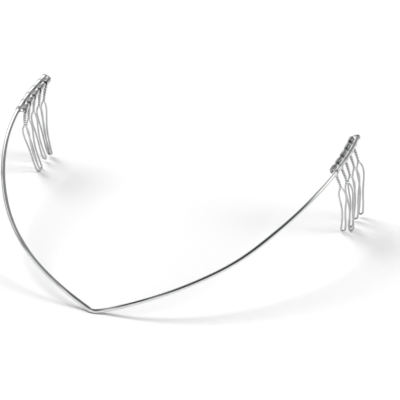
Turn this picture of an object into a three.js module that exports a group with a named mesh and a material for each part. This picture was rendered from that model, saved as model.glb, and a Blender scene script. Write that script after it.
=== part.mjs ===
// Bridal headband of silver wire, in millimetres, +X to the wearer's left, +Y to the back, +Z up.
// One wire runs round the front of the head with a V at its middle.
// A five-tooth comb of twisted wire is lashed inside each of its ends.
import * as THREE from "three";

// Band
const BAND_DIAMETER = 1.8;
const BAND_HALF_WIDTH = 66.5;
const BAND_DEPTH = 86;
const BAND_SIDES = 12;
const BAND_STEPS = 84;

// The V's point, by its turn from the middle of the band's front in degrees and its reach ahead of it
const V_TURN = -0.6;
const V_REACH = 1.1;
const V_SOFT_TURN = 1;
const V_STEP_SHARE = 0.3;

// How each arm leaves the V, in degrees of turn: where its climb starts, how softly the climb sets in
// and how far the point runs out along the arm
const ARMS = {
  left: { side: 1, climb_start: 0, climb_soft: 2, point_fade: 1.5 },
  right: { side: -1, climb_start: 1.4, climb_soft: 0.6, point_fade: 4.5 },
};

// The band's climb from the V, by the turn since the climb started in degrees
const CLIMB = [
  { turn: 0, rise: 0 },
  { turn: 14.25, rise: 6.4 },
  { turn: 28.5, rise: 12.2 },
  { turn: 42.75, rise: 18 },
  { turn: 57, rise: 25.2 },
  { turn: 71.25, rise: 31 },
  { turn: 85.5, rise: 34.8 },
  { turn: 99.75, rise: 37.2 },
];

// Comb
const SPINE_DIAMETER = 0.7;
const SPINE_INWARD = 2.15;
const SPINE_DROP = 0.45;
const SPINE_OVERHANG = 2.3;
const SPINE_SIDES = 8;
const SPINE_STEPS = 8;
const TOOTH_COUNT = 5;
const TOOTH_PITCH = 5;
const END_TO_LAST_TOOTH = 2.6;

// Tooth wire: eye, twisted stem and hairpin
const TOOTH_WIRE = 0.7;
const TOOTH_SIDES = 5;
const EYE_RADIUS = 0.82;
const EYE_OPENING = 70;
const EYE_LEAN = 14;
const EYE_STEPS = 9;
const NECK_DOWN = 1.25;
const STEM_FOOT = 10.6;
const STRAND_RADIUS = 0.4;
const TWIST_TURNS = 3.5;
const STEPS_PER_TURN = 7;
const TIP_DOWN = 36.35;
const TIP_RADIUS = 0.85;
const TIP_STEPS = 4;

// The tooth's bow away from the head, and half the gap between its two strands or legs
const TOOTH_PROFILE = [
  { down: 0, bow: 0, half_gap: STRAND_RADIUS },
  { down: 5.5, bow: 1.2, half_gap: STRAND_RADIUS },
  { down: STEM_FOOT, bow: 1.95, half_gap: STRAND_RADIUS },
  { down: 12.2, bow: 2.05, half_gap: 0.95 },
  { down: 14.5, bow: 2.12, half_gap: 1.3 },
  { down: 18, bow: 2.08, half_gap: 1.15 },
  { down: 22.5, bow: 1.76, half_gap: 0.72 },
  { down: 27, bow: 1.32, half_gap: 0.6 },
  { down: 31.5, bow: 0.76, half_gap: 0.75 },
  { down: TIP_DOWN - TIP_RADIUS, bow: 0.12, half_gap: TIP_RADIUS },
  { down: TIP_DOWN, bow: 0, half_gap: TIP_RADIUS },
];

// The two combs: the side along X, the turn of every hairpin out of the line across the head, and
// each tooth's lean to the back and splay away from the head, from the front tooth on, in degrees
const COMBS = {
  left: {
    side: 1,
    hairpin_turn: 30,
    teeth: [
      { lean: 20.8, splay: -2.3 },
      { lean: 15.9, splay: 2.9 },
      { lean: 12.2, splay: 1.3 },
      { lean: 13, splay: 2.3 },
      { lean: 10.9, splay: 4.6 },
    ],
  },
  right: {
    side: -1,
    hairpin_turn: -5,
    teeth: [
      { lean: 19.4, splay: -0.4 },
      { lean: 15.6, splay: 0.8 },
      { lean: 17.3, splay: 3 },
      { lean: 15.2, splay: 3.3 },
      { lean: 9, splay: 4.1 },
    ],
  },
};

// Lashing
const LASHING_WIRE = 0.3;
const LASHING_SIDES = 5;
const LASHING_CLEARANCE = 0.15;
const END_WRAP_FROM_TOOTH = 1.75;
const FIRST_COIL_TURNS = 2;
const LAST_COIL_TURNS = 1;
const COIL_PITCH = 0.45;
const COIL_STEPS = 8;

// What the lashing passes round, and how far inward of the band and below it each one lies
const LASHED = {
  band: { inward: 0, drop: 0, diameter: BAND_DIAMETER },
  spine: { inward: SPINE_INWARD, drop: SPINE_DROP, diameter: SPINE_DIAMETER },
  eye: { inward: SPINE_INWARD, drop: SPINE_DROP, diameter: 2 * EYE_RADIUS + TOOTH_WIRE },
};

// One turn round the spine and the band, slanting over an eye.
// It advances from the gap before that eye, -1, over the eye, 0, to the gap after it, 1.
const LASHING_TURN = [
  { around: "band", angle: 270, advance: -1 },
  { around: "spine", angle: -90, advance: -1 },
  { around: "spine", angle: -30, advance: -1 },
  { around: "spine", angle: 30, advance: -0.9 },
  { around: "eye", angle: 75, advance: -0.55 },
  { around: "eye", angle: 110, advance: 0.35 },
  { around: "band", angle: 90, advance: 0.8 },
  { around: "band", angle: 135, advance: 0.92 },
  { around: "band", angle: 180, advance: 1 },
  { around: "band", angle: 225, advance: 1 },
];

const METALS = {
  band: { color: 0xd6d8dc, roughness: 0.12 },
  comb: { color: 0xa9abb0, roughness: 0.35 },
  lashing: { color: 0xc4c6ca, roughness: 0.22 },
};

const radians = THREE.MathUtils.degToRad;
const UP = new THREE.Vector3(0, 0, 1);

// Reads one column of a table smoothly against another.
function readColumn(rows, along, name) {
  const curve = new THREE.CubicInterpolant(
    rows.map((row) => row[along]),
    rows.map((row) => row[name]),
    1,
  );
  return (place) => curve.evaluate(place)[0];
}

const riseAt = readColumn(CLIMB, "turn", "rise");
const bowAt = readColumn(TOOTH_PROFILE, "down", "bow");
const halfGapAt = readColumn(TOOTH_PROFILE, "down", "half_gap");
const END_TURN = CLIMB.at(-1).turn;

// A turn counted from where it sets in, rounded there instead of with a corner.
function soften(turn, softTurn) {
  return Math.hypot(turn, softTurn) - softTurn;
}

// Centre of the band's wire at a turn from the middle of its front, negative to the wearer's right.
function bandPoint(turn) {
  const angle = radians(turn);
  const arm = turn > V_TURN ? ARMS.left : ARMS.right;
  const climbTurn = soften(Math.max(arm.side * turn - arm.climb_start, 0), arm.climb_soft);
  const point = V_REACH * Math.exp(-soften(turn - V_TURN, V_SOFT_TURN) / arm.point_fade);
  return new THREE.Vector3(
    BAND_HALF_WIDTH * Math.sin(angle),
    BAND_DEPTH * (1 - Math.cos(angle)) - point,
    BAND_DIAMETER / 2 + riseAt(climbTurn),
  );
}

// Half of the band's centre line, from the middle of its front to the cut end on one side.
class ArmLine extends THREE.Curve {
  constructor(side) {
    super();
    this.side = side;
  }

  getPoint(t) {
    return bandPoint(this.side * t * END_TURN);
  }
}

// A wire's centre line has one ring of the wire at each of its stations.
class WireLine extends THREE.CatmullRomCurve3 {
  getUtoTmapping(u) {
    return u;
  }
}

function wire(stations, diameter, sides) {
  const corners = [];
  for (let corner = 0; corner < sides; corner += 1) {
    const angle = (2 * Math.PI * corner) / sides;
    corners.push(new THREE.Vector2(Math.cos(angle), Math.sin(angle)).multiplyScalar(diameter / 2));
  }
  return new THREE.ExtrudeGeometry(new THREE.Shape(corners), {
    steps: stations.length - 1,
    extrudePath: new WireLine(stations),
  });
}

function metalMesh(name, geometry, metal) {
  const { color, roughness } = METALS[metal];
  const material = new THREE.MeshStandardMaterial({ color, roughness, metalness: 1 });
  const mesh = new THREE.Mesh(geometry, material);
  mesh.name = name;
  return mesh;
}

// The stations crowd together round the V, where the wire bends most.
function buildBand() {
  const stations = [];
  for (let step = 0; step <= BAND_STEPS; step += 1) {
    const place = (2 * step) / BAND_STEPS - 1;
    const eased = place * (V_STEP_SHARE + (1 - V_STEP_SHARE) * Math.abs(place));
    stations.push(bandPoint(eased * END_TURN));
  }
  return metalMesh("band", wire(stations, BAND_DIAMETER, BAND_SIDES), "band");
}

// One end of the band: places beside it are measured in millimetres from the first tooth to the back.
class CombSeat {
  constructor(side) {
    this.side = side;
    this.arm = new ArmLine(side);
    this.length = this.arm.getLength();
    this.firstTooth = this.length - END_TO_LAST_TOOTH - TOOTH_PITCH * (TOOTH_COUNT - 1);
  }

  along(distance) {
    return this.arm.getTangentAt((this.firstTooth + distance) / this.length);
  }

  inward(distance) {
    return UP.clone().cross(this.along(distance)).multiplyScalar(this.side).normalize();
  }

  // A point beside the band: inward towards the head, and up square to the wire.
  point(distance, inward, up) {
    const across = this.inward(distance);
    const upward = this.along(distance).cross(across).multiplyScalar(this.side);
    return this.arm
      .getPointAt((this.firstTooth + distance) / this.length)
      .addScaledVector(across, inward)
      .addScaledVector(upward, up);
  }
}

function buildSpine(seat) {
  const first = -SPINE_OVERHANG;
  const last = TOOTH_PITCH * (TOOTH_COUNT - 1) + SPINE_OVERHANG;
  const stations = [];
  for (let step = 0; step <= SPINE_STEPS; step += 1) {
    const distance = THREE.MathUtils.lerp(first, last, step / SPINE_STEPS);
    stations.push(seat.point(distance, SPINE_INWARD, -SPINE_DROP));
  }
  return wire(stations, SPINE_DIAMETER, SPINE_SIDES);
}

// A point of one strand or leg, where strand is 1 or -1 and angle is its turn round the tooth's axis.
function strandPoint(side, down, angle, strand) {
  const reach = strand * halfGapAt(down);
  return new THREE.Vector3(
    side * bowAt(down) + reach * Math.cos(angle),
    reach * Math.sin(angle),
    -down,
  );
}

// One strand and its leg from the neck down to where the tip begins.
function legStations(side, hairpinTurn, strand) {
  const turns = TWIST_TURNS + hairpinTurn / 360;
  const steps = Math.round(TWIST_TURNS * STEPS_PER_TURN);
  const stations = [];
  for (let step = 0; step <= steps; step += 1) {
    const share = step / steps;
    const down = THREE.MathUtils.lerp(NECK_DOWN, STEM_FOOT, share);
    stations.push(strandPoint(side, down, 2 * Math.PI * turns * share, strand));
  }
  for (const { down } of TOOTH_PROFILE) {
    if (down > STEM_FOOT && down <= TIP_DOWN - TIP_RADIUS) {
      stations.push(strandPoint(side, down, 2 * Math.PI * turns, strand));
    }
  }
  return stations;
}

// The round tip that joins the two legs, from the second leg to the first.
function tipStations(side, hairpinTurn) {
  const angle = 2 * Math.PI * (TWIST_TURNS + hairpinTurn / 360);
  const centreDown = TIP_DOWN - TIP_RADIUS;
  const stations = [];
  for (let step = 1; step < TIP_STEPS; step += 1) {
    const round = (Math.PI * step) / TIP_STEPS;
    const reach = -TIP_RADIUS * Math.cos(round);
    const down = centreDown + TIP_RADIUS * Math.sin(round);
    stations.push(
      new THREE.Vector3(
        side * bowAt(down) + reach * Math.cos(angle),
        reach * Math.sin(angle),
        -down,
      ),
    );
  }
  return stations;
}

// The eye goes round the spine, from the first strand over the top to just above the second.
function eyeStations(side) {
  const first = side * EYE_LEAN - 90 + EYE_OPENING / 2;
  const last = side * EYE_LEAN + 270 - EYE_OPENING / 2;
  const stations = [];
  for (let step = 0; step <= EYE_STEPS; step += 1) {
    const angle = radians(THREE.MathUtils.lerp(first, last, step / EYE_STEPS));
    stations.push(new THREE.Vector3(Math.cos(angle), 0, Math.sin(angle)).multiplyScalar(EYE_RADIUS));
  }
  return stations;
}

// A tooth hangs down from the centre of its eye.
function buildTooth(side, hairpinTurn) {
  const stations = [
    ...legStations(side, hairpinTurn, -1),
    ...tipStations(side, hairpinTurn),
    ...legStations(side, hairpinTurn, 1).reverse(),
    ...eyeStations(side),
  ];
  return wire(stations, TOOTH_WIRE, TOOTH_SIDES);
}

function placeTooth(mesh, seat, index, { lean, splay }) {
  const distance = index * TOOTH_PITCH;
  const along = seat.along(distance);
  const heading = -Math.atan2(along.x, along.y);
  mesh.position.copy(seat.point(distance, SPINE_INWARD, -SPINE_DROP));
  mesh.rotation.set(radians(lean), -seat.side * radians(splay), heading, "ZYX");
}

// A point of the lashing, by its angle round what it passes, from the inner side upwards.
function lashingPoint(seat, around, angle, distance) {
  const { inward, drop, diameter } = LASHED[around];
  const reach = (diameter + LASHING_WIRE) / 2 + LASHING_CLEARANCE;
  const turn = radians(angle);
  return seat.point(distance, inward + reach * Math.cos(turn), reach * Math.sin(turn) - drop);
}

// Close turns round the band alone, counted in steps before or after a given angle and place.
function coilStations(seat, angle, place, firstStep, lastStep) {
  const stations = [];
  for (let step = firstStep; step <= lastStep; step += 1) {
    const turn = step / COIL_STEPS;
    const distance = place + turn * COIL_PITCH;
    stations.push(lashingPoint(seat, "band", angle + seat.side * turn * 360, distance));
  }
  return stations;
}

// The lashing's room before and after a tooth: half a gap, or less beyond the end teeth.
function roomBeside(index) {
  return {
    before: index === 0 ? END_WRAP_FROM_TOOTH : TOOTH_PITCH / 2,
    after: index === TOOTH_COUNT - 1 ? END_WRAP_FROM_TOOTH : TOOTH_PITCH / 2,
  };
}

// Both lashings are wound the same way round, so on the right the turn runs from the band to the spine.
function lashingTurn(side) {
  if (side > 0) {
    return LASHING_TURN;
  }
  return LASHING_TURN.map((row) => ({ ...row, advance: -row.advance })).reverse();
}

// The lashing starts with coils on the band, takes one turn over each eye and ends with a coil.
function buildLashing(seat) {
  const turn = lashingTurn(seat.side);
  const start = -END_WRAP_FROM_TOOTH;
  const end = TOOTH_PITCH * (TOOTH_COUNT - 1) + END_WRAP_FROM_TOOTH;
  const stations = coilStations(seat, turn[0].angle, start, -FIRST_COIL_TURNS * COIL_STEPS, -1);
  for (let index = 0; index < TOOTH_COUNT; index += 1) {
    const { before, after } = roomBeside(index);
    for (const { around, angle, advance } of turn) {
      const distance = index * TOOTH_PITCH + advance * (advance < 0 ? before : after);
      stations.push(lashingPoint(seat, around, angle, distance));
    }
  }
  stations.push(...coilStations(seat, turn.at(-1).angle, end, 1, LAST_COIL_TURNS * COIL_STEPS));
  return wire(stations, LASHING_WIRE, LASHING_SIDES);
}

function buildComb(name) {
  const { side, hairpin_turn: hairpinTurn, teeth } = COMBS[name];
  const seat = new CombSeat(side);
  const comb = new THREE.Group();
  comb.name = `${name}_comb`;
  comb.add(metalMesh(`${name}_spine`, buildSpine(seat), "comb"));
  teeth.forEach((angles, index) => {
    const tooth = metalMesh(`${name}_tooth_${index + 1}`, buildTooth(side, hairpinTurn), "comb");
    placeTooth(tooth, seat, index, angles);
    comb.add(tooth);
  });
  comb.add(metalMesh(`${name}_lashing`, buildLashing(seat), "lashing"));
  return comb;
}

// The headband stands with the middle of its footprint at the origin.
function buildHeadband() {
  const headband = new THREE.Group();
  headband.add(buildBand(), buildComb("left"), buildComb("right"));
  const box = new THREE.Box3().setFromObject(headband, true);
  const middle = box.getCenter(new THREE.Vector3());
  headband.position.set(-middle.x, -middle.y, -box.min.z);
  return headband;
}

export default buildHeadband();
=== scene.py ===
"""Bridal headband of silver wire, dressed for its picture.

One polished wire runs round the front of the head with a V at its middle, and a small comb of twisted wire is
lashed inside each of its ends. Every wire is modelled as straight round stock and bent along its route.
Lengths are in metres and angles in degrees, with +X to the wearer's left, +Y to the back and +Z up.
"""

import logging
import math
from collections.abc import Callable, Sequence
from dataclasses import dataclass
from enum import Enum
from functools import cache
from typing import NamedTuple

import bmesh
import bpy
import numpy as np
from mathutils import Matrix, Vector

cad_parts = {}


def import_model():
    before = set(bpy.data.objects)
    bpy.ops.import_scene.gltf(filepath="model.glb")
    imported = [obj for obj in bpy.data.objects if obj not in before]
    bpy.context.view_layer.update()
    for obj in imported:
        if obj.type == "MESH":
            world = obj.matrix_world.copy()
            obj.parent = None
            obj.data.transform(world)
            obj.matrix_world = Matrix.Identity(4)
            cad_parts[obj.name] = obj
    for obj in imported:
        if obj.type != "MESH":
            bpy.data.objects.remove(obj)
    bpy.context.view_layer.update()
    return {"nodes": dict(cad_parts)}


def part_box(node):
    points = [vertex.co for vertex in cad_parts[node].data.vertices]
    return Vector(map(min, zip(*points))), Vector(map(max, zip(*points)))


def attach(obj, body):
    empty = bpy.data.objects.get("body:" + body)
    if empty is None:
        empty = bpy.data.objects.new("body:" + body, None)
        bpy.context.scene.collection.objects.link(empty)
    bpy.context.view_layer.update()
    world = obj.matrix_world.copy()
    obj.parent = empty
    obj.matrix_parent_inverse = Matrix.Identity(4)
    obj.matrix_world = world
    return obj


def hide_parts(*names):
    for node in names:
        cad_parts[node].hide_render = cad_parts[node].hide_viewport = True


MM = 0.001
BODY = "root"
UP = np.array((0.0, 0.0, 1.0))
STOCK_PLACE = "stock_place"
# Point attribute for painted shade between the turns of twisted and coiled wire, and a painted highlight on
# their ridges
TWIST_SHADE_AND_HIGHLIGHT = "twist_shade_and_highlight"
SAME_PLACE = 0.001 * MM

Colour = tuple[float, float, float, float]
log = logging.getLogger("headband")


class Side(Enum):
    """The wearer's side that a comb belongs to, and its direction along X."""

    LEFT = 1
    RIGHT = -1

    @property
    def label(self) -> str:
        """The side's word in the names of its pieces."""
        return self.name.lower()


class Lashed(Enum):
    """What a lashing passes round."""

    BAND = "band"
    SPINE = "spine"
    EYE = "eye"


class ClimbRow(NamedTuple):
    """How far the band has climbed from the V, at a turn since the climb started."""

    turn: float
    rise: float


class ArmShape(NamedTuple):
    """How one arm of the band leaves the V, in degrees of turn round the head."""

    climb_start: float
    climb_soft: float
    point_fade: float


class ToothRow(NamedTuple):
    """A tooth's bow away from the head and half the gap between its strands, at a depth below the eye."""

    down: float
    bow: float
    half_gap: float


class ToothBend(NamedTuple):
    """One tooth's lean to the back and its splay away from the head."""

    lean: float
    splay: float


class WrapRow(NamedTuple):
    """A place on the lashing; advance runs from the start of a stretch of it, -1, to its end, 1."""

    around: Lashed
    angle: float
    advance: float


class GlowRow(NamedTuple):
    """The studio's brightness at a height, from the horizon, 0, to straight overhead, 1."""

    height: float
    glow: float


class SmoothTable:
    """One column of a table, read smoothly against another."""

    def __init__(self, places: Sequence[float], values: Sequence[float]) -> None:
        """Finds the slope at each row.

        Args:
            places: The rows' places, rising.
            values: The rows' values.
        """
        self.places = np.asarray(places, float)
        self.values = np.asarray(values, float)
        secants = np.diff(self.values) / np.diff(self.places)
        middle = (secants[:-1] + secants[1:]) / 2
        self.slopes = np.concatenate((secants[:1], middle, secants[-1:]))

    def at(self, place: np.ndarray | float) -> np.ndarray:
        """Reads the column.

        Args:
            place: Where to read it, one place or many.

        Returns:
            The value or values there.
        """
        inside = np.clip(place, self.places[0], self.places[-1])
        row = np.clip(np.searchsorted(self.places, inside, side="right") - 1, 0, len(self.places) - 2)
        span = self.places[row + 1] - self.places[row]
        share = (inside - self.places[row]) / span
        ease = share * share * (3 - 2 * share)
        leave = share * (1 - share) ** 2 * span * self.slopes[row]
        arrive = share * share * (share - 1) * span * self.slopes[row + 1]
        return self.values[row] * (1 - ease) + self.values[row + 1] * ease + leave + arrive


def select_only(piece: bpy.types.Object) -> None:
    """Selects one object and makes it the active one.

    Args:
        piece: The object.
    """
    bpy.ops.object.select_all(action="DESELECT")
    piece.select_set(True)
    bpy.context.view_layer.objects.active = piece


def select_edges(piece: bpy.types.Object, wanted: Callable[[Vector, Vector], bool]) -> None:
    """Selects edges of a piece in edit mode by the places of their ends.

    Args:
        piece: The object in edit mode.
        wanted: Says whether an edge with these two ends is selected.
    """
    bpy.ops.mesh.select_all(action="DESELECT")
    shape = bmesh.from_edit_mesh(piece.data)
    for edge in shape.edges:
        if wanted(edge.verts[0].co, edge.verts[1].co):
            edge.select_set(True)
    bmesh.update_edit_mesh(piece.data)


def read_places(piece: bpy.types.Object) -> np.ndarray:
    """Reads where a piece's points lie.

    Args:
        piece: The mesh object.

    Returns:
        The points' places, one row each.
    """
    places = np.empty(len(piece.data.vertices) * 3, np.float32)
    piece.data.vertices.foreach_get("co", places)
    return places.reshape(-1, 3)


def drop_repeats(places: np.ndarray) -> np.ndarray:
    """Leaves out each place that repeats the one before it."""
    steps = np.linalg.norm(np.diff(places, axis=0), axis=1)
    return places[np.concatenate(((True,), steps > SAME_PLACE))]


def make_route(stations: np.ndarray) -> bpy.types.Object:
    """Draws the smooth curve that a wire is bent along.

    Args:
        stations: Places on the wire's centre line, one row each.

    Returns:
        The curve's object.
    """
    curve = bpy.data.curves.new("route", "CURVE")
    curve.dimensions = "3D"
    spline = curve.splines.new("BEZIER")
    spline.bezier_points.add(len(stations) - 1)
    for bend, station in zip(spline.bezier_points, stations):
        bend.co = station
    route = bpy.data.objects.new("route", curve)
    bpy.context.scene.collection.objects.link(route)
    select_only(route)
    bpy.ops.object.mode_set(mode="EDIT")
    bpy.ops.curve.select_all(action="SELECT")
    bpy.ops.curve.handle_type_set(type="AUTOMATIC")
    bpy.ops.object.mode_set(mode="OBJECT")
    return route


@dataclass(frozen=True)
class WireStock:
    """Round wire off the coil.

    Attributes:
        diameter: The wire's thickness.
        sides: Faces round the wire.
        ring_gap: Length between the rings of points along the wire, at most.
        end_round: The rounding of a cut end, as a share of the radius.
        end_steps: Faces across that rounding.
    """

    diameter: float
    sides: int
    ring_gap: float
    end_round: float = 0.55
    end_steps: int = 4

    def cut(self, name: str, length: float) -> bpy.types.Object:
        """Models a straight length along +X from the origin, ringed for bending, with rounded ends.

        Args:
            name: The piece's name.
            length: How long it is.

        Returns:
            The straight wire.
        """
        bpy.ops.object.select_all(action="DESELECT")
        bpy.ops.mesh.primitive_cylinder_add(
            vertices=self.sides,
            radius=self.diameter / 2,
            depth=length,
            location=(length / 2, 0, 0),
            rotation=(0, math.pi / 2, 0),
        )
        piece = bpy.context.active_object
        piece.name = name
        piece.data.name = name
        bpy.ops.object.transform_apply(location=True, rotation=True, scale=True)
        bpy.ops.object.mode_set(mode="EDIT")
        bpy.ops.mesh.select_mode(type="EDGE")
        select_edges(piece, lambda a, b: abs(a.x - b.x) < length / 2)
        bpy.ops.mesh.bevel(
            offset=self.end_round * self.diameter / 2,
            segments=self.end_steps,
            affect="EDGES",
        )
        self.ring(piece, length)
        bpy.ops.object.mode_set(mode="OBJECT")
        return piece

    def ring(self, piece: bpy.types.Object, length: float) -> None:
        """Divides the long edges twice over, so that the rings lie a ring gap apart.

        Args:
            piece: The straight wire, in edit mode.
            length: How long it is.
        """
        parts = math.ceil(math.sqrt(length / self.ring_gap))
        for stretch in (length, length / parts):
            select_edges(piece, lambda a, b: abs(a.x - b.x) > stretch / 2)
            bpy.ops.mesh.subdivide(number_cuts=parts - 1)

    def bend(self, name: str, stations: np.ndarray) -> bpy.types.Object:
        """Cuts a length of the wire and bends it.

        Args:
            name: The piece's name.
            stations: Places on the bent wire's centre line, one row each.

        Returns:
            The bent wire, whose points remember where they lay on the straight one.
        """
        route = make_route(stations)
        piece = self.cut(name, route.data.splines[0].calc_length())
        straight = piece.data.attributes.new(STOCK_PLACE, "FLOAT_VECTOR", "POINT")
        straight.data.foreach_set("vector", read_places(piece).ravel())
        bender = piece.modifiers.new("bend", "CURVE")
        bender.object = route
        bender.deform_axis = "POS_X"
        select_only(piece)
        bpy.ops.object.modifier_apply(modifier=bender.name)
        bpy.ops.object.shade_smooth()
        bpy.data.curves.remove(route.data)
        return piece


@cache
def marks_group(name: str, detail: float, low: float, high: float) -> bpy.types.NodeTree:
    """Builds a group for marks scattered over a wire.

    Args:
        name: The group's name.
        detail: How finely the marks are broken up.
        low: The noise at which a mark begins.
        high: The noise at which it is full.

    Returns:
        A group from Place, Length and Width to Marks, from 0 to 1.
    """
    group = bpy.data.node_groups.new(name, "ShaderNodeTree")
    group.interface.new_socket("Place", in_out="INPUT", socket_type="NodeSocketVector")
    group.interface.new_socket("Length", in_out="INPUT", socket_type="NodeSocketFloat")
    group.interface.new_socket("Width", in_out="INPUT", socket_type="NodeSocketFloat")
    group.interface.new_socket("Marks", in_out="OUTPUT", socket_type="NodeSocketFloat")
    taken = group.nodes.new("NodeGroupInput")
    given = group.nodes.new("NodeGroupOutput")
    size = group.nodes.new("ShaderNodeCombineXYZ")
    counted = group.nodes.new("ShaderNodeVectorMath")
    counted.operation = "DIVIDE"
    noise = group.nodes.new("ShaderNodeTexNoise")
    noise.inputs["Scale"].default_value = 1.0
    noise.inputs["Detail"].default_value = detail
    spread = group.nodes.new("ShaderNodeMapRange")
    spread.inputs["From Min"].default_value = low
    spread.inputs["From Max"].default_value = high
    link = group.links.new
    link(taken.outputs["Length"], size.inputs["X"])
    link(taken.outputs["Width"], size.inputs["Y"])
    link(taken.outputs["Width"], size.inputs["Z"])
    link(taken.outputs["Place"], counted.inputs[0])
    link(size.outputs["Vector"], counted.inputs[1])
    link(counted.outputs["Vector"], noise.inputs["Vector"])
    link(noise.outputs["Fac"], spread.inputs["Value"])
    link(spread.outputs["Result"], given.inputs["Marks"])
    return group


def drawn_lines() -> bpy.types.NodeTree:
    """Gives the group for the fine lines that the drawing die leaves along a wire."""
    return marks_group("drawn_lines", detail=3.0, low=0.35, high=0.68)


def tarnish() -> bpy.types.NodeTree:
    """Gives the group for the cloudy patches where a bright wire has dulled with handling."""
    return marks_group("tarnish", detail=4.0, low=0.42, high=0.72)


@dataclass(frozen=True)
class WireFinish:
    """How one kind of wire is finished.

    Attributes:
        slot: The record's material slot.
        bright: Colour of the clean metal.
        dull: Colour where it has dulled.
        smooth: Roughness of the clean metal.
        rough: Roughness added along the drawn lines.
        line_length: Length of the drawn lines.
        line_width: Width of the drawn lines.
        line_depth: Depth of the drawn lines.
        patch_size: Size of the dulled patches.
    """

    slot: str
    bright: Colour
    dull: Colour
    smooth: float
    rough: float
    line_length: float
    line_width: float
    line_depth: float
    patch_size: float

    def material(self) -> bpy.types.Material:
        """Builds the finish's material, once.

        Returns:
            The material.
        """
        name = f"{self.slot}_wire"
        made = bpy.data.materials.get(name)
        if made is None:
            made = bpy.data.materials.new(name)
            made.use_nodes = True
            self.draw_lines(made.node_tree)
            metal = made.node_tree.nodes["Principled BSDF"]
            metal.inputs["Metallic"].default_value = 1.0
            made.node_tree.links.new(self.colour(made.node_tree), metal.inputs["Base Color"])
        return made

    def colour(self, tree: bpy.types.NodeTree) -> bpy.types.NodeSocket:
        """Lays out the metal's colour, with its dulled patches.

        Args:
            tree: The material's node tree.

        Returns:
            The output that gives the colour.
        """
        space = tree.nodes.new("ShaderNodeTexCoord")
        clouds = tree.nodes.new("ShaderNodeGroup")
        clouds.node_tree = tarnish()
        clouds.inputs["Length"].default_value = self.patch_size
        clouds.inputs["Width"].default_value = self.patch_size
        mixed = tree.nodes.new("ShaderNodeMix")
        mixed.data_type = "RGBA"
        mixed.inputs["A"].default_value = self.bright
        mixed.inputs["B"].default_value = self.dull
        tree.links.new(space.outputs["Object"], clouds.inputs["Place"])
        tree.links.new(clouds.outputs["Marks"], mixed.inputs["Factor"])
        return mixed.outputs["Result"]

    def draw_lines(self, tree: bpy.types.NodeTree) -> None:
        """Lays out the drawn lines, which roughen the metal and stand in low relief.

        Args:
            tree: The material's node tree.
        """
        metal = tree.nodes["Principled BSDF"]
        stock = tree.nodes.new("ShaderNodeAttribute")
        stock.attribute_name = STOCK_PLACE
        lines = tree.nodes.new("ShaderNodeGroup")
        lines.node_tree = drawn_lines()
        lines.inputs["Length"].default_value = self.line_length
        lines.inputs["Width"].default_value = self.line_width
        polish = tree.nodes.new("ShaderNodeMapRange")
        polish.inputs["To Min"].default_value = self.smooth
        polish.inputs["To Max"].default_value = self.smooth + self.rough
        relief = tree.nodes.new("ShaderNodeBump")
        relief.inputs["Distance"].default_value = self.line_depth
        link = tree.links.new
        link(stock.outputs["Vector"], lines.inputs["Place"])
        link(lines.outputs["Marks"], polish.inputs["Value"])
        link(polish.outputs["Result"], metal.inputs["Roughness"])
        link(lines.outputs["Marks"], relief.inputs["Height"])
        link(relief.outputs["Normal"], metal.inputs["Normal"])

    def dress(self, piece: bpy.types.Object, node: str) -> None:
        """Gives a piece this finish, and puts it in the place of a frame node.

        Args:
            piece: The finished mesh.
            node: The frame node that it stands for.
        """
        piece.data.materials.clear()
        piece.data.materials.append(self.material())
        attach(piece, BODY)
        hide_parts(node)
        log.info("%s: %d faces in %s", piece.name, len(piece.data.polygons), self.slot)


@dataclass(frozen=True)
class TwistedFinish(WireFinish):
    """A finish that also paints shade deep between the turns of wound wire, and a highlight on their ridges.

    Attributes:
        ridge_highlight: Colour of the painted highlight on the turns' ridges.
        crevice_shade: Colour of the painted shade deep between the turns.
    """

    ridge_highlight: Colour
    crevice_shade: Colour

    def colour(self, tree: bpy.types.NodeTree) -> bpy.types.NodeSocket:
        """Lays out the metal's colour, with painted shade between the turns and a painted highlight on them.

        Args:
            tree: The material's node tree.

        Returns:
            The output that gives the colour.
        """
        plain = super().colour(tree)
        depth = tree.nodes.new("ShaderNodeAttribute")
        depth.attribute_name = TWIST_SHADE_AND_HIGHLIGHT
        # Painted shade in the valleys, then a painted highlight on the ridges, both placed by the twist
        # attribute
        shaded = tree.nodes.new("ShaderNodeMix")
        shaded.data_type = "RGBA"
        shaded.inputs["B"].default_value = self.crevice_shade
        height = tree.nodes.new("ShaderNodeMath")
        height.operation = "MULTIPLY"
        height.inputs[1].default_value = -1.0
        highlighted = tree.nodes.new("ShaderNodeMix")
        highlighted.data_type = "RGBA"
        highlighted.inputs["B"].default_value = self.ridge_highlight
        link = tree.links.new
        link(depth.outputs["Fac"], shaded.inputs["Factor"])
        link(plain, shaded.inputs["A"])
        link(depth.outputs["Fac"], height.inputs[0])
        link(height.outputs["Value"], highlighted.inputs["Factor"])
        link(shaded.outputs["Result"], highlighted.inputs["A"])
        return highlighted.outputs["Result"]


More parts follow.
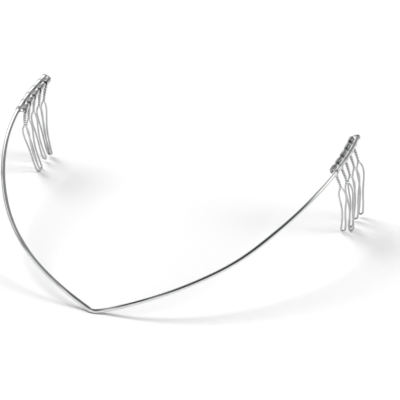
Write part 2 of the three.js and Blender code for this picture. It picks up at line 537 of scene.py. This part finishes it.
BAND_SILVER = WireFinish(
    slot="band_silver",
    bright=(0.74, 0.745, 0.75, 1.0),
    dull=(0.64, 0.645, 0.65, 1.0),
    smooth=0.05,
    rough=0.05,
    line_length=9 * MM,
    line_width=0.12 * MM,
    line_depth=0.0003 * MM,
    patch_size=11 * MM,
)
COMB_STEEL = TwistedFinish(
    slot="comb_steel",
    bright=(0.54, 0.54, 0.545, 1.0),
    dull=(0.42, 0.42, 0.425, 1.0),
    # Near-white painted highlight on the ridges of the twists and eye coils, and near-black painted shade
    # between their turns
    ridge_highlight=(0.95, 0.95, 0.96, 1.0),
    crevice_shade=(0.01, 0.01, 0.01, 1.0),
    smooth=0.16,
    rough=0.12,
    line_length=5 * MM,
    line_width=0.08 * MM,
    line_depth=0.0005 * MM,
    patch_size=5 * MM,
)
LASHING_SILVER = WireFinish(
    slot="lashing_silver",
    bright=(0.72, 0.72, 0.725, 1.0),
    dull=(0.56, 0.56, 0.565, 1.0),
    smooth=0.08,
    rough=0.08,
    line_length=4 * MM,
    line_width=0.06 * MM,
    line_depth=0.0003 * MM,
    patch_size=4 * MM,
)

CLIMB = (
    ClimbRow(turn=0, rise=0),
    ClimbRow(turn=14.25, rise=6.4 * MM),
    ClimbRow(turn=28.5, rise=12.2 * MM),
    ClimbRow(turn=42.75, rise=18 * MM),
    ClimbRow(turn=57, rise=25.2 * MM),
    ClimbRow(turn=71.25, rise=31 * MM),
    ClimbRow(turn=85.5, rise=34.8 * MM),
    ClimbRow(turn=99.75, rise=37.2 * MM),
)

LEFT_ARM = ArmShape(climb_start=0, climb_soft=2, point_fade=1.5)
RIGHT_ARM = ArmShape(climb_start=1.4, climb_soft=0.6, point_fade=4.5)


def soften(turns: np.ndarray, soft: np.ndarray | float) -> np.ndarray:
    """Gives turns counted from where they set in, rounded there instead of with a corner."""
    return np.hypot(turns, soft) - soft


@dataclass
class Band:
    """The polished wire round the front of the head.

    Attributes:
        diameter: The wire's thickness.
        half_width: The band's reach to each side.
        depth: The band's reach from the V to its widest place.
        v_turn: The place of the V's point, as a turn from the middle of the band's front.
        v_reach: How far the point stands ahead of the band's round.
        v_soft: Turn over which the point is rounded.
        steps: Stations along the whole wire.
        crowding: Gap between the stations at the V, as a share of the usual one.
    """

    diameter: float = 1.8 * MM
    half_width: float = 66.5 * MM
    depth: float = 86 * MM
    v_turn: float = -0.6
    v_reach: float = 1.1 * MM
    v_soft: float = 1.0
    steps: int = 168
    crowding: float = 0.3

    def __post_init__(self) -> None:
        """Finds the middle of the band's front in the frame, and readies the climb."""
        low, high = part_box("band")
        radius = self.diameter / 2
        self.front = np.array(((low.x + high.x) / 2, low.y + radius + self.v_reach, low.z + radius))
        self.climb = SmoothTable([row.turn for row in CLIMB], [row.rise for row in CLIMB])
        self.end_turn = CLIMB[-1].turn

    def points(self, turns: np.ndarray) -> np.ndarray:
        """Gives places on the wire's centre line.

        Args:
            turns: Turns round the head from the middle of the front, negative to the wearer's right.

        Returns:
            One row for each turn.
        """
        angles = np.radians(turns)
        on_left = turns > self.v_turn
        start, soft, fade = np.where(on_left, np.transpose([LEFT_ARM]), np.transpose([RIGHT_ARM]))
        climbed = soften(np.maximum(np.where(on_left, turns, -turns) - start, 0), soft)
        point = self.v_reach * np.exp(-soften(turns - self.v_turn, self.v_soft) / fade)
        across = self.half_width * np.sin(angles)
        back = self.depth * (1 - np.cos(angles)) - point
        return self.front + np.stack((across, back, self.climb.at(climbed)), axis=-1)

    def build(self) -> None:
        """Bends the wire, with its stations crowded at the V, and polishes it."""
        place = np.linspace(-1, 1, self.steps + 1)
        eased = place * (self.crowding + (1 - self.crowding) * np.abs(place))
        stock = WireStock(self.diameter, sides=32, ring_gap=0.45 * MM)
        wire = stock.bend("band_wire", self.points(eased * self.end_turn))
        BAND_SILVER.dress(wire, "band")


class CombSeat:
    """One end of the band, with places beside it measured from the first tooth to the back."""

    SAMPLES = 2000

    def __init__(self, band: Band, side: Side, first_from_end: float) -> None:
        """Measures along the arm.

        Args:
            band: The band.
            side: The arm's side.
            first_from_end: Length from the first tooth to the wire's end.
        """
        self.side = side
        self.line = band.points(np.linspace(0, side.value * band.end_turn, self.SAMPLES))
        steps = np.linalg.norm(np.diff(self.line, axis=0), axis=1)
        self.travelled = np.concatenate(((0.0,), np.cumsum(steps)))
        self.first = self.travelled[-1] - first_from_end
        headings = np.gradient(self.line, self.travelled, axis=0)
        self.headings = headings / np.linalg.norm(headings, axis=1, keepdims=True)

    def read(self, rows: np.ndarray, distance: float) -> np.ndarray:
        """Reads the arm's rows at a distance from the first tooth."""
        return np.array([np.interp(self.first + distance, self.travelled, column) for column in rows.T])

    def along(self, distance: float) -> np.ndarray:
        """Gives the wire's direction, to the back."""
        return self.read(self.headings, distance)

    def point(self, distance: float, inward: float, up: float) -> np.ndarray:
        """Gives a place beside the band.

        Args:
            distance: Length along the wire from the first tooth.
            inward: Distance from the wire's centre towards the head.
            up: Distance upwards, square to the wire.

        Returns:
            The place.
        """
        along = self.along(distance)
        across = np.cross(UP, along) * self.side.value
        across /= np.linalg.norm(across)
        upward = np.cross(along, across) * self.side.value
        return self.read(self.line, distance) + inward * across + up * upward


# Height of the twist's ridges and valleys above the middle of the wire, in wire widths: at the valley's
# height the painted shade is full, at the ridge's the painted highlight
RIDGE_SHARE = 0.48
VALLEY_SHARE = 0.2

STRAND_RADIUS = 0.4 * MM
STEM_FOOT = 10.6 * MM
TIP_DOWN = 36.35 * MM
TIP_RADIUS = 0.85 * MM
TOOTH_PROFILE = (
    ToothRow(down=0, bow=0, half_gap=STRAND_RADIUS),
    ToothRow(down=5.5 * MM, bow=1.2 * MM, half_gap=STRAND_RADIUS),
    ToothRow(down=STEM_FOOT, bow=1.95 * MM, half_gap=STRAND_RADIUS),
    ToothRow(down=12.2 * MM, bow=2.05 * MM, half_gap=0.95 * MM),
    ToothRow(down=14.5 * MM, bow=2.12 * MM, half_gap=1.3 * MM),
    ToothRow(down=18 * MM, bow=2.08 * MM, half_gap=1.15 * MM),
    ToothRow(down=22.5 * MM, bow=1.76 * MM, half_gap=0.72 * MM),
    ToothRow(down=27 * MM, bow=1.32 * MM, half_gap=0.6 * MM),
    ToothRow(down=31.5 * MM, bow=0.76 * MM, half_gap=0.75 * MM),
    ToothRow(down=TIP_DOWN - TIP_RADIUS, bow=0.12 * MM, half_gap=TIP_RADIUS),
    ToothRow(down=TIP_DOWN, bow=0, half_gap=TIP_RADIUS),
)
HAIRPIN_TURN = {Side.LEFT: 30.0, Side.RIGHT: -5.0}
TOOTH_BENDS = {
    Side.LEFT: (
        ToothBend(lean=20.8, splay=-2.3),
        ToothBend(lean=15.9, splay=2.9),
        ToothBend(lean=12.2, splay=1.3),
        ToothBend(lean=13, splay=2.3),
        ToothBend(lean=10.9, splay=4.6),
    ),
    Side.RIGHT: (
        ToothBend(lean=19.4, splay=-0.4),
        ToothBend(lean=15.6, splay=0.8),
        ToothBend(lean=17.3, splay=3),
        ToothBend(lean=15.2, splay=3.3),
        ToothBend(lean=9, splay=4.1),
    ),
}


@dataclass
class Tooth:
    """One tooth of a comb: an eye, a twisted stem and a hairpin with two wavy legs, all of one wire.

    Attributes:
        side: The comb's side.
        wire: The wire's thickness.
        eye_radius: Radius of the eye at the wire's centre.
        eye_coils: Times that the eye goes over the spine.
        eye_pitch: Distance between those coils.
        eye_opening: Angle between the eye's two ends.
        eye_lean: The eye's turn towards the stem.
        neck_down: Depth at which the strands start to twist.
        twist_turns: Turns that the strands take round each other.
        untwist: Depth over which the twist dies away, above and below the stem's foot.
        strand_steps: Stations on each strand.
        leg_steps: Stations on each leg.
        round_steps: Stations on the tip and on the eye.
    """

    side: Side
    wire: float = 0.7 * MM
    eye_radius: float = 0.82 * MM
    eye_coils: int = 4
    eye_pitch: float = 0.74 * MM
    eye_opening: float = 70.0
    eye_lean: float = 14.0
    neck_down: float = 2.5 * MM
    twist_turns: float = 3.0
    untwist: float = 0.7 * MM
    strand_steps: int = 56
    leg_steps: int = 30
    round_steps: int = 18

    def __post_init__(self) -> None:
        """Readies the tooth's profile and the turn of its hairpin."""
        downs = [row.down for row in TOOTH_PROFILE]
        self.bow = SmoothTable(downs, [row.bow for row in TOOTH_PROFILE])
        self.half_gap = SmoothTable(downs, [row.half_gap for row in TOOTH_PROFILE])
        self.turns = self.twist_turns + HAIRPIN_TURN[self.side] / 360

    def twist(self, down: np.ndarray) -> np.ndarray:
        """Gives the strands' angle round the stem, which grows evenly down to the foot and dies away there.

        Args:
            down: Depths below the eye.

        Returns:
            The angles in radians.
        """
        rate = 2 * math.pi * self.turns / (STEM_FOOT - self.neck_down)
        fading = np.clip((down - STEM_FOOT + self.untwist) / (2 * self.untwist), 0, 1)
        steady = np.minimum(down, STEM_FOOT - self.untwist) - self.neck_down
        return rate * (steady + self.untwist * (2 * fading - fading**2))

    def around_axis(self, down: np.ndarray, reach: np.ndarray) -> np.ndarray:
        """Gives places beside the tooth's bowed axis.

        Args:
            down: Depths below the eye.
            reach: Distances from the axis, along the strands' line.

        Returns:
            One row for each place.
        """
        angle = self.twist(down)
        across = self.side.value * self.bow.at(down) + reach * np.cos(angle)
        return np.stack((across, reach * np.sin(angle), -down), axis=-1)

    def leg(self, strand: int) -> np.ndarray:
        """Gives one strand and its leg, from the neck to the tip.

        Args:
            strand: Which strand, 1 or -1.

        Returns:
            Places on the wire's centre line, one row each.
        """
        stem = np.linspace(self.neck_down, STEM_FOOT + self.untwist, self.strand_steps, endpoint=False)
        hairpin = np.linspace(STEM_FOOT + self.untwist, TIP_DOWN - TIP_RADIUS, self.leg_steps)
        down = np.concatenate((stem, hairpin))
        return self.around_axis(down, strand * self.half_gap.at(down))

    def tip(self) -> np.ndarray:
        """Gives the round tip, from the second leg to the first.

        Returns:
            Places on the wire's centre line, one row each.
        """
        round_angle = np.linspace(0, math.pi, self.round_steps)[1:-1]
        down = TIP_DOWN - TIP_RADIUS + TIP_RADIUS * np.sin(round_angle)
        return self.around_axis(down, -TIP_RADIUS * np.cos(round_angle))

    def eye(self) -> np.ndarray:
        """Gives the eye's coil round the spine, from the first strand to the second.

        Returns:
            Places on the wire's centre line, one row each.
        """
        first = self.side.value * self.eye_lean - 90 + self.eye_opening / 2
        sweep = 360 * self.eye_coils - self.eye_opening
        share = np.linspace(0, 1, self.eye_coils * self.round_steps)
        angle = np.radians(first + sweep * share)
        along = (share - 0.5) * self.eye_pitch * sweep / 360
        return np.stack((self.eye_radius * np.cos(angle), along, self.eye_radius * np.sin(angle)), axis=-1)

    def model(self) -> bpy.types.Object:
        """Bends one tooth, hanging from its eye at the origin.

        Returns:
            The pattern that the comb's teeth are copied from.
        """
        eye = self.eye()
        stations = np.concatenate((eye[-1:], self.leg(-1), self.tip(), self.leg(1)[::-1], eye))
        stock = WireStock(self.wire, sides=16, ring_gap=0.14 * MM)
        pattern = stock.bend(f"{self.side.label}_tooth_pattern", stations)
        self.shade_twist(pattern)
        return pattern

    def depth_between(self, from_axis: np.ndarray, centre_reach: np.ndarray | float) -> np.ndarray:
        """Tells how deep points lie between neighbouring turns of the wire.

        Args:
            from_axis: The points' distances from the axis that the wire winds round.
            centre_reach: That distance at the wire's centre.

        Returns:
            -1 on the turns' ridges, where the highlight is painted, to 1 in the valleys between them, where
            the shade is painted.
        """
        height = (from_axis - centre_reach) / self.wire
        return np.interp(height, (VALLEY_SHARE, RIDGE_SHARE), (1, -1))

    def shade_twist(self, pattern: bpy.types.Object) -> None:
        """Marks the stem's and the eye's valleys for painted shade, and their ridges for a painted highlight.

        Args:
            pattern: The bent tooth, hanging from its eye at the origin.
        """
        places = read_places(pattern)
        down = -places[:, 2]
        aside = places[:, 0] - self.side.value * self.bow.at(down)
        twisted = np.interp(down, (STEM_FOOT - self.untwist, STEM_FOOT + self.untwist), (1, 0))
        stem_depth = twisted * self.depth_between(np.hypot(aside, places[:, 1]), self.half_gap.at(down))
        eye_depth = self.depth_between(np.hypot(places[:, 0], places[:, 2]), self.eye_radius)
        above_stem = np.where(down < self.eye_radius, eye_depth, 0.0)
        depth = np.where(down > self.neck_down, stem_depth, above_stem)
        shade = pattern.data.attributes.new(TWIST_SHADE_AND_HIGHLIGHT, "FLOAT", "POINT")
        shade.data.foreach_set("value", depth.astype(np.float32))


@dataclass
class Comb:
    """A five-tooth wire comb inside one end of the band.

    Attributes:
        band: The band that it is lashed to.
        side: The wearer's side.
        tooth_pitch: Distance between teeth along the band.
        end_to_last_tooth: Length from the last tooth to the band's end.
        spine_diameter: Thickness of the rod through the eyes.
        spine_inward: How far inside the band the rod lies.
        spine_drop: How far below the band it lies.
        spine_overhang: Its length beyond the end teeth.
        spine_stations: Places that it is bent through.
    """

    band: Band
    side: Side
    tooth_pitch: float = 5 * MM
    end_to_last_tooth: float = 2.6 * MM
    spine_diameter: float = 0.7 * MM
    spine_inward: float = 2.15 * MM
    spine_drop: float = 0.45 * MM
    spine_overhang: float = 2.3 * MM
    spine_stations: int = 9

    def __post_init__(self) -> None:
        """Takes the comb's seat in the band's end."""
        self.tooth = Tooth(self.side)
        self.bends = TOOTH_BENDS[self.side]
        self.last_tooth = self.tooth_pitch * (len(self.bends) - 1)
        self.seat = CombSeat(self.band, self.side, self.last_tooth + self.end_to_last_tooth)

    def build(self) -> None:
        """Builds the spine and the teeth, and finishes them."""
        self.build_spine()
        pattern = self.tooth.model()
        for index, bend in enumerate(self.bends):
            self.build_tooth(pattern, index, bend)
        bpy.data.meshes.remove(pattern.data)

    def build_spine(self) -> None:
        """Bends the rod that the eyes hang on."""
        first, last = -self.spine_overhang, self.last_tooth + self.spine_overhang
        distances = np.linspace(first, last, self.spine_stations)
        stations = [self.seat.point(place, self.spine_inward, -self.spine_drop) for place in distances]
        stock = WireStock(self.spine_diameter, sides=20, ring_gap=0.7 * MM)
        rod = stock.bend(f"{self.side.label}_spine_rod", np.array(stations))
        COMB_STEEL.dress(rod, f"{self.side.label}_spine")

    def build_tooth(self, pattern: bpy.types.Object, index: int, bend: ToothBend) -> None:
        """Copies the tooth and hangs it on the spine.

        Args:
            pattern: The tooth at the origin.
            index: Which tooth, from the front.
            bend: How it is bent.
        """
        distance = index * self.tooth_pitch
        along = self.seat.along(distance)
        heading = -math.atan2(along[0], along[1])
        select_only(pattern)
        bpy.ops.object.duplicate(linked=False)
        tooth = bpy.context.active_object
        tooth.name = f"{self.side.label}_tooth_{index + 1}_wire"
        tooth.data.name = tooth.name
        tooth.rotation_euler = (math.radians(bend.lean), -self.side.value * math.radians(bend.splay), heading)
        tooth.location = self.seat.point(distance, self.spine_inward, -self.spine_drop)
        bpy.ops.object.transform_apply(location=True, rotation=True, scale=True)
        COMB_STEEL.dress(tooth, f"{self.side.label}_tooth_{index + 1}")


# One turn round the spine's end and the band together
BINDING = (
    WrapRow(around=Lashed.SPINE, angle=-90, advance=-1),
    WrapRow(around=Lashed.SPINE, angle=-40, advance=-0.85),
    WrapRow(around=Lashed.SPINE, angle=15, advance=-0.7),
    WrapRow(around=Lashed.SPINE, angle=64, advance=-0.5),
    WrapRow(around=Lashed.BAND, angle=64, advance=0),
    WrapRow(around=Lashed.BAND, angle=105, advance=0.25),
    WrapRow(around=Lashed.BAND, angle=145, advance=0.45),
    WrapRow(around=Lashed.BAND, angle=185, advance=0.6),
    WrapRow(around=Lashed.BAND, angle=230, advance=0.75),
    WrapRow(around=Lashed.BAND, angle=272, advance=0.9),
)
# One slanting turn from under the spine, over an eye and round the band
CROSSING = (
    WrapRow(around=Lashed.SPINE, angle=-90, advance=-1),
    WrapRow(around=Lashed.SPINE, angle=-30, advance=-1),
    WrapRow(around=Lashed.SPINE, angle=30, advance=-0.95),
    WrapRow(around=Lashed.EYE, angle=75, advance=-0.6),
    WrapRow(around=Lashed.EYE, angle=110, advance=0.4),
    WrapRow(around=Lashed.BAND, angle=90, advance=0.8),
    WrapRow(around=Lashed.BAND, angle=135, advance=0.92),
    WrapRow(around=Lashed.BAND, angle=180, advance=1),
    WrapRow(around=Lashed.BAND, angle=225, advance=1),
    WrapRow(around=Lashed.BAND, angle=270, advance=1),
)


@dataclass
class Lashing:
    """The thin wire that binds a comb's spine and eyes to the band.

    Attributes:
        comb: The comb that it holds.
        wire: The wire's thickness.
        clearance: Room between the lashing and what it passes round.
        turn_pitch: Distance between close turns.
        coil_turns: Close turns round the band, where the lashing starts.
        sleeve_turns: Close turns round the spine between two teeth.
        end_turns: Turns that bind the spine's end to the band, beyond an end tooth.
        end_reach: Distance from the end teeth to those turns.
        turn_steps: Stations on each close turn.
    """

    comb: Comb
    wire: float = 0.2 * MM
    clearance: float = 0.02 * MM
    turn_pitch: float = 0.22 * MM
    coil_turns: int = 2
    sleeve_turns: int = 5
    end_turns: int = 2
    end_reach: float = 1.86 * MM
    turn_steps: int = 10

    def place(self, around: Lashed, angle: float, distance: float) -> np.ndarray:
        """Gives a place on the lashing.

        Args:
            around: What it passes round there.
            angle: Its angle round that, from the inner side upwards.
            distance: Length along the band from the first tooth.

        Returns:
            The place.
        """
        comb = self.comb
        thickness = {
            Lashed.BAND: comb.band.diameter,
            Lashed.SPINE: comb.spine_diameter,
            Lashed.EYE: 2 * comb.tooth.eye_radius + comb.tooth.wire,
        }[around]
        on_band = around is Lashed.BAND
        inward = 0.0 if on_band else comb.spine_inward
        drop = 0.0 if on_band else comb.spine_drop
        reach = (thickness + self.wire) / 2 + self.clearance
        turn = math.radians(angle)
        return comb.seat.point(distance, inward + reach * math.cos(turn), reach * math.sin(turn) - drop)

    def wind(self, rows: Sequence[WrapRow], start: float, finish: float) -> list[np.ndarray]:
        """Gives the stations of one stretch of lashing.

        Both lashings are wound the same way, so the right one runs each stretch backwards.

        Args:
            rows: The stretch on the left comb.
            start: Where it starts, as a length along the band from the first tooth.
            finish: Where it ends.

        Returns:
            The stretch's stations.
        """
        if self.comb.side is Side.RIGHT:
            rows = [row._replace(advance=-row.advance) for row in reversed(rows)]
        middle, half = (start + finish) / 2, (finish - start) / 2
        return [self.place(row.around, row.angle, middle + row.advance * half) for row in rows]

    def close_turns(self, around: Lashed, turns: int) -> list[WrapRow]:
        """Gives close turns that start and end underneath."""
        shares = np.linspace(0, 1, turns * self.turn_steps + 1)
        return [WrapRow(around, -90 + 360 * turns * share, 2 * share - 1) for share in shares]

    def bind_end(self, start: float) -> list[np.ndarray]:
        """Gives the turns that bind an end of the spine to the band, from their start along the band."""
        starts = [start + turn * self.turn_pitch for turn in range(self.end_turns)]
        return [place for at in starts for place in self.wind(BINDING, at, at + self.turn_pitch)]

    def stations(self) -> np.ndarray:
        """Gives the whole lashing.

        It starts with a coil on the band, binds the spine's end, passes over each eye with a sleeve on the
        spine between two eyes, and binds the spine's other end.

        Returns:
            Places on the wire's centre line, one row each.
        """
        pitch = self.comb.tooth_pitch
        last = len(self.comb.bends) - 1
        sleeve_length = self.sleeve_turns * self.turn_pitch
        sleeve = self.close_turns(Lashed.SPINE, self.sleeve_turns)
        bind_start = -self.end_reach - self.end_turns * self.turn_pitch
        coil = self.close_turns(Lashed.BAND, self.coil_turns)
        stations = self.wind(coil, bind_start - self.coil_turns * self.turn_pitch, bind_start)
        stations += self.bind_end(bind_start)
        start = -self.end_reach
        for index in range(last):
            finish = (index + 0.5) * pitch - sleeve_length / 2
            stations += self.wind(CROSSING, start, finish)
            start = finish + sleeve_length
            stations += self.wind(sleeve, finish, start)
        finish = last * pitch + self.end_reach
        stations += self.wind(CROSSING, start, finish)
        stations += self.bind_end(finish)
        return drop_repeats(np.array(stations))

    def build(self) -> None:
        """Winds the lashing and finishes it."""
        label = self.comb.side.label
        stock = WireStock(self.wire, sides=12, ring_gap=0.1 * MM)
        lashing = stock.bend(f"{label}_lashing_wire", self.stations())
        LASHING_SILVER.dress(lashing, f"{label}_lashing")


def compass(azimuth: float, elevation: float) -> Vector:
    """Gives the direction of a place in the studio.

    Args:
        azimuth: Turn from the back of the head towards the wearer's left.
        elevation: Height above the floor.

    Returns:
        A unit vector.
    """
    turn = math.radians(azimuth)
    height = math.radians(elevation)
    flat = math.cos(height)
    return Vector((math.sin(turn) * flat, math.cos(turn) * flat, math.sin(height)))


@dataclass(frozen=True)
class Lamp:
    """One soft lamp, far enough away to light the floor evenly.

    Attributes:
        name: The lamp's name.
        azimuth: Its turn from the back of the head towards the wearer's left.
        elevation: Its height above the floor, as an angle.
        softness: How wide it looks from the headband, as an angle.
        power: Its light on a surface that faces it, in watts per square metre.
    """

    name: str
    azimuth: float
    elevation: float
    softness: float
    power: float

    def build(self) -> None:
        """Sets up the lamp, unseen by the camera and in the wires."""
        towards = compass(self.azimuth, self.elevation)
        aim = (-towards).to_track_quat("-Z", "Y").to_euler()
        bpy.ops.object.light_add(type="SUN", location=towards, rotation=aim)
        lamp = bpy.context.active_object
        lamp.name = self.name
        lamp.visible_camera = False
        lamp.visible_glossy = False
        lamp.data.angle = math.radians(self.softness)
        lamp.data.energy = self.power


@dataclass(frozen=True)
class Card:
    """A bright or dark card beside the headband, seen only in the polish of its wires.

    Attributes:
        name: The card's name.
        azimuth: Its turn from the back of the head towards the wearer's left.
        elevation: Its height above the floor, as an angle.
        distance: Its distance from the middle of the headband.
        width: Its width.
        height: Its height.
        glow: Its brightness, where the floor's is about 1.
        feather: Share of it, from the edges in, over which it fades out.
    """

    name: str
    azimuth: float
    elevation: float
    distance: float
    width: float
    height: float
    glow: float
    feather: float = 0.5

    def build(self) -> None:
        """Hangs the card, facing the headband."""
        towards = compass(self.azimuth, self.elevation)
        aim = towards.to_track_quat("Z", "Y").to_euler()
        bpy.ops.object.select_all(action="DESELECT")
        bpy.ops.mesh.primitive_plane_add(size=1, location=towards * self.distance, rotation=aim)
        card = bpy.context.active_object
        card.name = self.name
        card.scale = (self.width, self.height, 1)
        bpy.ops.object.transform_apply(location=True, rotation=True, scale=True)
        card.data.materials.append(self.paint())
        card.visible_camera = False
        card.visible_diffuse = False
        card.visible_shadow = False

    def paint(self) -> bpy.types.Material:
        """Builds the card's glow, which fades out towards the edges.

        Returns:
            The material.
        """
        paint = bpy.data.materials.new(self.name)
        paint.use_nodes = True
        tree = paint.node_tree
        surface = tree.nodes["Principled BSDF"]
        surface.inputs["Base Color"].default_value = (0.0, 0.0, 0.0, 1.0)
        surface.inputs["Specular IOR Level"].default_value = 0.0
        surface.inputs["Emission Color"].default_value = (1.0, 1.0, 1.0, 1.0)
        surface.inputs["Emission Strength"].default_value = self.glow
        place = tree.nodes.new("ShaderNodeTexCoord")
        halves = tree.nodes.new("ShaderNodeVectorMath")
        halves.operation = "MULTIPLY_ADD"
        halves.inputs[1].default_value = (2.0, 2.0, 0.0)
        halves.inputs[2].default_value = (-1.0, -1.0, 0.0)
        reach = tree.nodes.new("ShaderNodeVectorMath")
        reach.operation = "ABSOLUTE"
        split = tree.nodes.new("ShaderNodeSeparateXYZ")
        farther = tree.nodes.new("ShaderNodeMath")
        farther.operation = "MAXIMUM"
        fade = tree.nodes.new("ShaderNodeMapRange")
        fade.interpolation_type = "SMOOTHSTEP"
        fade.inputs["From Min"].default_value = 1.0 - self.feather
        fade.inputs["To Min"].default_value = 1.0
        fade.inputs["To Max"].default_value = 0.0
        link = tree.links.new
        link(place.outputs["UV"], halves.inputs[0])
        link(halves.outputs["Vector"], reach.inputs[0])
        link(reach.outputs["Vector"], split.inputs["Vector"])
        link(split.outputs["X"], farther.inputs[0])
        link(split.outputs["Y"], farther.inputs[1])
        link(farther.outputs["Value"], fade.inputs["Value"])
        link(fade.outputs["Result"], surface.inputs["Alpha"])
        return paint


@dataclass
class Studio:
    """The pale floor, the light and the camera.

    Attributes:
        camera_azimuth: The camera's turn from straight in front towards the wearer's left.
        camera_elevation: The camera's height, as an angle.
        camera_distance: Its distance from the place that it looks at.
        camera_aim: That place.
        lens: Focal length in millimetres.
        sensor: Width of the picture in the camera, in millimetres.
        floor_size: Width of the floor.
        floor_white: The floor's brightness.
        lamps: The lamps that light the floor.
        cards: The cards that the wires mirror.
        tent: The brightness of the tent round them, from the horizon up.
    """

    camera_azimuth: float = 22.545
    camera_elevation: float = 29.151
    camera_distance: float = 1.6
    camera_aim: tuple[float, float, float] = (15.59 * MM, 11.46 * MM, 18.46 * MM)
    lens: float = 377.3
    sensor: float = 36.0
    floor_size: float = 12.0
    floor_white: float = 0.84
    lamps: tuple[Lamp, ...] = (
        Lamp("key_lamp", azimuth=-84, elevation=58, softness=26, power=2.0),
        Lamp("fill_lamp", azimuth=86, elevation=38, softness=24, power=1.6),
    )
    cards: tuple[Card, ...] = (
        Card("left_window", azimuth=-41, elevation=40, distance=0.275, width=0.3, height=0.19, glow=1.9),
        Card("side_window", azimuth=-99, elevation=39, distance=0.171, width=0.075, height=0.075, glow=1.2),
        Card("right_window", azimuth=58, elevation=35, distance=0.6, width=0.32, height=0.32, glow=2.0),
        Card("front_window", azimuth=-130, elevation=26, distance=0.55, width=0.34, height=0.22, glow=1.55),
        Card("left_wall", azimuth=-122, elevation=14, distance=0.62, width=1.2, height=0.36, glow=0.56),
        Card("v_flag", azimuth=180, elevation=24, distance=0.065, width=0.04, height=0.032, glow=0.0),
        Card("v_window", azimuth=-165, elevation=15, distance=0.079, width=0.024, height=0.03, glow=1.1),
        Card("back_flag", azimuth=17, elevation=19, distance=0.3, width=0.22, height=0.22, glow=0.22),
        Card("front_flag", azimuth=128, elevation=50, distance=0.5, width=0.95, height=0.72, glow=0.04),
    )
    tent: tuple[GlowRow, ...] = (
        GlowRow(height=0.0, glow=0.7),
        GlowRow(height=0.08, glow=0.54),
        GlowRow(height=0.17, glow=0.47),
        GlowRow(height=0.42, glow=0.4),
        GlowRow(height=0.71, glow=0.34),
        GlowRow(height=1.0, glow=0.3),
    )

    def build(self) -> None:
        """Builds the studio round the headband."""
        self.build_floor()
        self.build_tent()
        for lamp in self.lamps:
            lamp.build()
        for card in self.cards:
            card.build()
        self.build_camera()

    def build_floor(self) -> None:
        """Lays the floor under the headband."""
        bpy.ops.object.select_all(action="DESELECT")
        bpy.ops.mesh.primitive_plane_add(size=self.floor_size)
        floor = bpy.context.active_object
        floor.name = "floor"
        paint = bpy.data.materials.new("floor_white")
        paint.use_nodes = True
        surface = paint.node_tree.nodes["Principled BSDF"]
        surface.inputs["Base Color"].default_value = (*[self.floor_white] * 3, 1.0)
        surface.inputs["Roughness"].default_value = 0.9
        surface.inputs["Specular IOR Level"].default_value = 0.1
        floor.data.materials.append(paint)

    def build_tent(self) -> None:
        """Hangs the white tent, bright at the horizon and dark overhead."""
        world = bpy.data.worlds.new("light_tent")
        bpy.context.scene.world = world
        world.use_nodes = True
        tree = world.node_tree
        view = tree.nodes.new("ShaderNodeTexCoord")
        split = tree.nodes.new("ShaderNodeSeparateXYZ")
        ramp = tree.nodes.new("ShaderNodeValToRGB")
        stops = ramp.color_ramp.elements
        while len(stops) < len(self.tent):
            stops.new(0.5)
        for stop, row in zip(stops, self.tent):
            stop.position = row.height
            stop.color = (*[row.glow] * 3, 1.0)
        tree.links.new(view.outputs["Generated"], split.inputs["Vector"])
        tree.links.new(split.outputs["Z"], ramp.inputs["Fac"])
        tree.links.new(ramp.outputs["Color"], tree.nodes["Background"].inputs["Color"])

    def build_camera(self) -> None:
        """Sets up the camera, and shows colours as they are."""
        towards = compass(180 - self.camera_azimuth, self.camera_elevation)
        aim = (-towards).to_track_quat("-Z", "Y").to_euler()
        place = Vector(self.camera_aim) + towards * self.camera_distance
        bpy.ops.object.camera_add(location=place, rotation=aim)
        camera = bpy.context.active_object
        camera.data.lens = self.lens
        camera.data.sensor_width = self.sensor
        bpy.context.scene.camera = camera
        bpy.context.scene.view_settings.view_transform = "Standard"


def main() -> None:
    """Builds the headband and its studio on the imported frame."""
    logging.basicConfig(level=logging.INFO, format="%(name)s: %(message)s")
    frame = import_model()
    log.info("frame with %d nodes", len(frame["nodes"]))
    band = Band()
    band.build()
    for side in Side:
        comb = Comb(band, side)
        comb.build()
        Lashing(comb).build()
    Studio().build()


if __name__ == "__main__":
    main()
